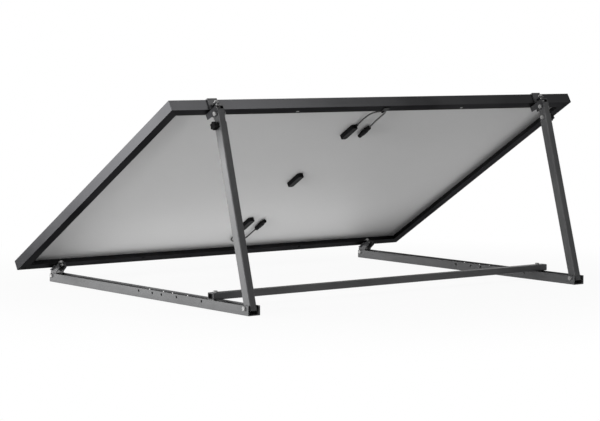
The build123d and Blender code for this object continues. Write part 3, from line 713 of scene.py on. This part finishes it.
# ---- operators ---------------------------------------------------------------------------
class MOUNT_OT_camera(bpy.types.Operator):
    """Add the camera"""
    bl_idname = "mount.camera"
    bl_label = "Camera"

    def execute(self, context):
        studio = context.scene.mount_studio
        lens = bpy.data.cameras.new("camera")
        lens.lens = studio.lens
        lens.sensor_width = 36.0
        lens.clip_end = 100.0
        camera = bpy.data.objects.new("camera", lens)
        context.scene.collection.objects.link(camera)
        camera.location = CAMERA_AT
        camera.rotation_euler = (math.pi / 2 - studio.camera_dip, 0.0, -studio.camera_turn)
        context.scene.camera = camera
        return {"FINISHED"}


class MOUNT_OT_stage(bpy.types.Operator):
    """Add the floor, the room light and the lamps"""
    bl_idname = "mount.stage"
    bl_label = "Studio"

    def execute(self, context):
        studio = context.scene.mount_studio
        context.scene.view_settings.view_transform = "Standard"
        self.room(context.scene, studio)
        self.floor(studio)
        for name, place, target, size, setting in LAMPS:
            self.lamp(name, place, target, size, getattr(studio, setting))
        for name, x, y, size, share in GLOWS:
            self.lamp(name, (x, y, GLOW_Z), (x, y + GLOW_LEAN, 1.0), size, studio.glow * share)
        return {"FINISHED"}

    def room(self, scene, studio):
        """Even light that matt faces get weakly, and the camera and reflections as plain white."""
        world = bpy.data.worlds.new("room")
        world.use_nodes = True
        scene.world = world
        tree = world.node_tree
        strength = spread(tree, seen_ray(tree), studio.world, 1.0)
        background = tree.nodes["Background"]
        background.inputs["Color"].default_value = (1.0, 1.0, 1.0, 1.0)
        tree.links.new(strength, background.inputs["Strength"])

    def floor(self, studio):
        """Pale floor that the camera sees as nearly white close by and plain white farther out."""
        material, tree, shader = new_material("studio_floor")
        vector = object_vector(tree)
        marks = use_group(tree, "handling_marks", Vector=vector, Size=0.8)
        tree.links.new(tinted(tree, studio.floor, marks, 0.99, 1.01), shader.inputs["Base Color"])
        tree.links.new(spread(tree, marks, 0.85, 0.9), shader.inputs["Roughness"])
        shader.inputs["Specular IOR Level"].default_value = 0.1
        away = add(tree, "ShaderNodeVectorMath", {0: vector}, operation="LENGTH")
        near, far = FLOOR_FADE
        share = add(tree, "ShaderNodeMapRange",
                    {"Value": away.outputs["Value"], "From Min": near, "From Max": far,
                     "To Min": studio.floor_white, "To Max": 1.0}, interpolation_type="SMOOTHSTEP")
        factor = add(tree, "ShaderNodeMath", {0: seen_ray(tree), 1: share.outputs["Result"]},
                     operation="MULTIPLY")
        white = add(tree, "ShaderNodeEmission", {"Color": (1.0, 1.0, 1.0, 1.0), "Strength": 1.0})
        mixed = add(tree, "ShaderNodeMixShader", {0: factor.outputs[0]})
        tree.links.new(shader.outputs[0], mixed.inputs[1])
        tree.links.new(white.outputs[0], mixed.inputs[2])
        tree.links.new(mixed.outputs[0], tree.nodes["Material Output"].inputs["Surface"])
        corners = ((-1, -1), (1, -1), (1, 1), (-1, 1))
        points = [(x * FLOOR_HALF, y * FLOOR_HALF, FLOOR_Z) for x, y in corners]
        floor = mesh_object("studio_floor", points, [(0, 1, 2, 3)], material)

    def lamp(self, name, place, target, size, watts):
        """Rectangular lamp that the camera doesn't see."""
        light = bpy.data.lights.new(name, "AREA")
        light.shape = "RECTANGLE"
        light.size, light.size_y = size
        light.energy = watts
        lamp = bpy.data.objects.new(name, light)
        bpy.context.scene.collection.objects.link(lamp)
        lamp.location = place
        lamp.rotation_euler = (Vector(target) - Vector(place)).to_track_quat("-Z", "Y").to_euler()
        lamp.visible_camera = False


class MOUNT_OT_leads(bpy.types.Operator):
    """Lay the two sheathed leads with their plugs"""
    bl_idname = "mount.leads"
    bl_label = "Leads and plugs"

    def execute(self, context):
        # a point is X, distance below the top edge and height off the frame's rear, millimetres
        upper = ((3, 178, 23), (3, 156, 23), (-5, 119, 19.5), (-12, 82, 13), (-14, 56, 6.5), (0, 38, 1.6),
                 (20, 38, 1.6), (37, 56, 5), (44, 90, 10), (52, 130, 15), (62, 165, 18.5), (62, 187, 18.5))
        lower = ((3, 955, 23), (3, 977, 23), (0, 1008, 21), (1, 1040, 20), (20, 1059, 20), (48, 1059, 20),
                 (68, 1040, 20), (69, 1008, 20.5), (65, 975, 18.5), (65, 952, 18.5))
        self.lead("lead_upper_sheath", upper, 0.324, "lead_upper", "connector_upper")
        self.lead("lead_lower_sheath", lower, 0.251, "lead_lower", "connector_lower")
        dress(finish("plug_plastic"), "connector_upper", "connector_lower", "cable_glands", "lead_clip")
        return {"FINISHED"}

    def lead(self, name, route, real_length, solid, plug):
        """Round sheath along a route, in place of the CAD lead."""
        diameter = bpy.context.scene.mount_sizes.lead
        curve = bpy.data.curves.new(name, "CURVE")
        curve.dimensions = "3D"
        curve.bevel_depth = diameter / 2
        curve.bevel_resolution = 4
        curve.resolution_u = 10
        curve.use_fill_caps = True
        spline = curve.splines.new("NURBS")
        spline.points.add(len(route) - 1)
        for point, place in zip(spline.points, route):
            point.co = (*on_sheet(*place), 1.0)
        spline.order_u = 3
        spline.use_endpoint_u = True
        made = bpy.data.objects.new(name, curve)
        bpy.context.scene.collection.objects.link(made)
        curve.materials.append(finish("sheath"))
        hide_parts(solid)
        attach(made, "module")


# ---- cell layout, in millimetres ---------------------------------------------------------
CELL_ROWS = 6
CELLS_PER_HALF = 9
ROW_GAP = 1.4                    # gap between rows, in cell gaps
CELL_CUT = 2.0                   # cut corners of a half cell
CELL_HALF_DEPTH = 0.1
RIBBON_TOP = 30.48               # from the frame's rear
RIBBON_INWARD = 3.0              # ribbons pass the cells by this much in the middle
RIBBON_OUTWARD = 4.0             # and by this much at the ends
COLLECTOR_RISE = 0.15
COLLECTOR_OUTWARD = 5.5          # end collectors, beyond the last cell
COLLECTOR_IN_MIDDLE = 1.6        # middle collectors, either side of the centre line
END_COLLECTOR = 4.0              # widths
MIDDLE_COLLECTOR = 2.4


class MOUNT_OT_module(bpy.types.Operator):
    """Finish the module: frame, glass, cells, backsheet and boxes"""
    bl_idname = "mount.module"
    bl_label = "Module"

    def execute(self, context):
        dress(finish("frame_across"), "frame_top", "frame_bottom")
        dress(finish("frame_slope"), "frame_left", "frame_right")
        dress(finish("cut_metal"), "corner_keys")
        dress(finish("backsheet"), "backsheet")
        dress(finish("laminate"), "cell_sheet")
        dress(finish("glass"), "front_glass")
        dress(finish("box_plastic"), "junction_box_bodies", "junction_box_lids")
        self.cells(context.scene.mount_sizes)
        return {"FINISHED"}

    def cells(self, sizes):
        """108 half cells in six rows with their ribbons, just under the glass."""
        short, tall = sizes.cell_short / MM, sizes.cell_long / MM
        gap, middle = sizes.cell_gap / MM, sizes.centre_gap / MM
        down = CELL_ROWS * tall + (CELL_ROWS - 1) * gap * ROW_GAP
        top = (MODULE_WIDTH - down) / 2
        plates, ribbons = [], []
        end = middle / 2 + CELLS_PER_HALF * short + (CELLS_PER_HALF - 1) * gap
        for row in range(CELL_ROWS):
            y0 = top + row * (tall + gap * ROW_GAP)
            for half in (-1, 1):
                for column in range(CELLS_PER_HALF):
                    near = middle / 2 + column * (short + gap)
                    x0, x1 = sorted((half * near, half * (near + short)))
                    plates.append(self.plate(x0, x1, y0, y0 + tall, column % 2 == 0, half))
                step = tall / sizes.ribbons
                for line in range(sizes.ribbons):
                    y = y0 + (line + 0.5) * step
                    x0, x1 = sorted((half * (middle / 2 - RIBBON_INWARD), half * (end + RIBBON_OUTWARD)))
                    ribbons.append(self.bar(x0, x1, y, sizes.ribbon / MM))
        for x, width in ((-end - COLLECTOR_OUTWARD, END_COLLECTOR), (-COLLECTOR_IN_MIDDLE, MIDDLE_COLLECTOR),
                         (COLLECTOR_IN_MIDDLE, MIDDLE_COLLECTOR), (end + COLLECTOR_OUTWARD, END_COLLECTOR)):
            ribbons.append(self.upright(x, top, top + down, width))
        cells = mesh_object("half_cells", *merge(plates), finish("cell"))
        strips = mesh_object("cell_ribbons", *merge(ribbons), finish("ribbon"))
        for piece in (cells, strips):
            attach(piece, "module")

    def plate(self, x0, x1, y0, y1, cut_first, half):
        """Half cell with two cut corners on one long side."""
        cut = CELL_CUT
        left_cut = cut_first if half > 0 else not cut_first
        if left_cut:
            outline = [(x0 + cut, y0), (x1, y0), (x1, y1), (x0 + cut, y1), (x0, y1 - cut), (x0, y0 + cut)]
        else:
            outline = [(x0, y0), (x1 - cut, y0), (x1, y0 + cut), (x1, y1 - cut), (x1 - cut, y1), (x0, y1)]
        return self.slab(outline, UNDER_GLASS - CELL_HALF_DEPTH, UNDER_GLASS + CELL_HALF_DEPTH)

    def slab(self, outline, low, high):
        """Flat plate from an outline on the laminate."""
        rings = [[on_sheet(x, y, z) for x, y in outline] for z in (low, high)]
        return rings_mesh(rings)

    def oblong(self, x0, x1, y0, y1, high):
        """Rectangular strip from the cells' underside up."""
        return self.slab([(x0, y0), (x1, y0), (x1, y1), (x0, y1)], UNDER_GLASS - CELL_HALF_DEPTH, high)

    def bar(self, x0, x1, y, width):
        """Ribbon along the module."""
        return self.oblong(x0, x1, y - width / 2, y + width / 2, RIBBON_TOP)

    def upright(self, x, y0, y1, width):
        """Collecting ribbon down the slope."""
        return self.oblong(x - width / 2, x + width / 2, y0, y1, UNDER_GLASS + COLLECTOR_RISE)


class MOUNT_OT_base(bpy.types.Operator):
    """Finish the rails, the crossbar and the telescopic legs"""
    bl_idname = "mount.base"
    bl_label = "Rails and legs"

    def execute(self, context):
        dress(finish("rail_metal"), *both("base_rail"))
        dress(finish("crossbar_metal"), "crossbar")
        dress(finish("knob_plastic"), "crossbar_caps", *both("pin_spacers", "locking_knob"))
        dress(finish("leg_metal"), *both("leg_outer", "leg_inner"))
        dress(finish("zinc"), "hinge_sleeves", "flange_washers")
        return {"FINISHED"}


class MOUNT_OT_brackets(bpy.types.Operator):
    """Finish the brackets and hooks"""
    bl_idname = "mount.brackets"
    bl_label = "Brackets"

    def execute(self, context):
        dress(finish("bracket_coat"), *both("top_bracket", "top_hook", "front_bracket"))
        return {"FINISHED"}


class MOUNT_OT_fasteners(bpy.types.Operator):
    """Screw in the threaded bolts and nuts"""
    bl_idname = "mount.fasteners"
    bl_label = "Fasteners"

    def execute(self, context):
        self.pitch = context.scene.mount_sizes.thread
        self.zinc = finish("zinc")
        for name, side in SIDES.items():
            self.rail_pins(name, side)
            self.leg_bolt(name, side)
            self.bracket_bolts(name, side)
        self.hold_down()
        return {"FINISHED"}

    def rail_pins(self, name, side):
        """Foot and hinge pins across a rail."""
        x = side * LEG_SPACING / 2 - RAIL_WIDTH / 2
        for stem, y, z in (("foot", *FOOT), ("hinge", *HINGE)):
            seat = Vector((x, y, z)) * MM
            bolt = (seat, (1, 0, 0), (RAIL_WIDTH + RAIL_PIN_BEYOND) * MM, RAIL_PIN_PLAIN, RAIL_WIDTH * MM)
            fasten(f"{stem}_pin_{name}", "base", self.zinc, [bolt],
                   (f"{stem}_bolt_{name}", f"{stem}_nut_{name}"), self.pitch)

    def leg_bolt(self, name, side):
        """Locking bolt through the leg."""
        seat = Vector((side * (LEG_SPACING / 2 - LEG_WIDTH / 2), FOOT[0] + KNOB_AT * math.sin(LEG_LEAN),
                       FOOT[1] + KNOB_AT * math.cos(LEG_LEAN))) * MM
        bolt = (seat, (side, 0, 0), *LOCKING_STUD)
        fasten(f"locking_stud_{name}", f"leg_{name}", self.zinc, [bolt],
               (f"locking_bolt_{name}",), self.pitch)

    def bracket_bolts(self, name, side):
        """Pivot pin, hook clamp bolt and flange clamp bolt of one side."""
        x = side * LEG_SPACING / 2
        pivot = module_to_world(x - EAR_OUT, -PIVOT_OUT - MODULE_WIDTH - PIVOT_OUT, 0.0)
        bolt = (pivot, (1, 0, 0), (2 * EAR_OUT + PIVOT_PIN_BEYOND) * MM, PIVOT_PIN_PLAIN, 2 * EAR_OUT * MM)
        fasten(f"pivot_pin_{name}", "module", self.zinc, [bolt],
               (f"pivot_bolt_{name}", f"pivot_nut_{name}"), self.pitch)
        hook = on_sheet(x, -CLAMP_BOLT_OUT, -PLATE)
        fasten(f"hook_clamp_{name}", "module", self.zinc, [(hook, GLASS_NORMAL, *HOOK_CLAMP)],
               (f"hook_bolt_{name}", f"hook_nut_{name}"), self.pitch)
        flange = on_sheet(side * CLAMP_SPACING / 2, MODULE_WIDTH - FLANGE_HOLE_INSET, -PLATE)
        fasten(f"flange_clamp_{name}", "module", self.zinc, [(flange, GLASS_NORMAL, *FLANGE_CLAMP)],
               (f"flange_bolt_{name}", f"flange_nut_{name}"), self.pitch)

    def hold_down(self):
        """Bolts that hold the crossbar on the rails."""
        bolts = []
        for side in SIDES.values():
            seat = Vector((side * LEG_SPACING / 2, CROSSBAR_Y, CROSSBAR_TOP)) * MM
            shank = (CROSSBAR_TOP - RAIL_FLOOR) * MM
            bolts.append((seat, (0, 0, -1), shank, HOLD_DOWN_PLAIN, shank - NUT_DEPTH))
        fasten("hold_down_bolts", "base", self.zinc, bolts,
               ("crossbar_bolts", "crossbar_nuts"), self.pitch)


class VIEW3D_PT_mount(bpy.types.Panel):
    """Finishes and pieces of the mount"""
    bl_label = "Ballast mount"
    bl_space_type = "VIEW_3D"
    bl_region_type = "UI"
    bl_category = "Ballast mount"

    def draw(self, context):
        for step in STEPS:
            self.layout.operator(step)
        for group in ("mount_finishes", "mount_sizes", "mount_studio"):
            settings = getattr(context.scene, group)
            box = self.layout.box()
            for name in settings.bl_rna.properties.keys():
                if name not in ("rna_type", "name"):
                    box.prop(settings, name)


STEPS = ("mount.camera", "mount.stage", "mount.leads", "mount.module", "mount.base",
         "mount.brackets", "mount.fasteners")
CLASSES = (MountFinishes, MountSizes, MountStudio, MOUNT_OT_camera, MOUNT_OT_stage, MOUNT_OT_leads,
           MOUNT_OT_module, MOUNT_OT_base, MOUNT_OT_brackets, MOUNT_OT_fasteners, VIEW3D_PT_mount)


def register():
    """Register the classes and the settings."""
    for item in CLASSES:
        bpy.utils.register_class(item)
    bpy.types.Scene.mount_finishes = PointerProperty(type=MountFinishes)
    bpy.types.Scene.mount_sizes = PointerProperty(type=MountSizes)
    bpy.types.Scene.mount_studio = PointerProperty(type=MountStudio)


def unregister():
    """Take the settings and the classes away."""
    del bpy.types.Scene.mount_studio
    del bpy.types.Scene.mount_sizes
    del bpy.types.Scene.mount_finishes
    for item in reversed(CLASSES):
        bpy.utils.unregister_class(item)


def main():
    """Run every step in order."""
    register()
    for step in STEPS:
        area, name = step.split(".")
        getattr(getattr(bpy.ops, area), name)()


if __name__ == "__main__":
    main()
